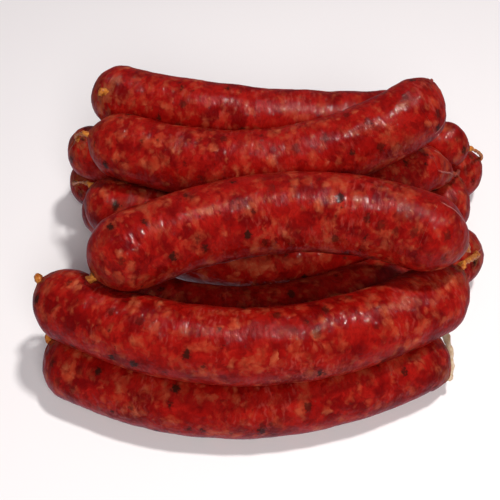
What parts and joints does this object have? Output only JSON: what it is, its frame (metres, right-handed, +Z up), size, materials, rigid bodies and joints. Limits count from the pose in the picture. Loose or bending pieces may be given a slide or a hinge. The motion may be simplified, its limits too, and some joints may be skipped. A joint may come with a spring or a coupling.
{
  "type": "string of sausage links",
  "caption": "Folded string of raw, coarse-ground sausage links in natural casing, tied end to end by twisted casing and lying in a low pile that rests flat.",
  "frame": {"origin": "the middle of the pile's footprint, on the surface that it lies on", "axes": "+X runs along the links, to the right as seen from the front; +Y points to the back of the pile; +Z is up"},
  "size_m": [0.2143, 0.1651, 0.0975],
  "materials": {
    "sausage": "deep red coarse meat with pale orange fat and dark herb flecks under a thin, moist, see-through casing; soft broken gloss",
    "casing": "twisted, wrinkled casing without filling; yellow-brown, slightly see-through, semi-gloss"
  },
  "bodies": {
    "root": {"link_01": "sausage", "link_02": "sausage", "link_03": "sausage", "link_04": "sausage", "link_05": "sausage", "link_06": "sausage", "link_07": "sausage", "link_08": "sausage", "link_09": "sausage", "link_10": "sausage", "twist_01": "casing", "twist_02": "casing", "twist_03": "casing", "twist_04": "casing", "twist_05": "casing", "twist_06": "casing", "twist_07": "casing", "twist_08": "casing", "twist_09": "casing", "free_end_01": "casing", "free_end_02": "casing"}
  },
  "joints": []
}
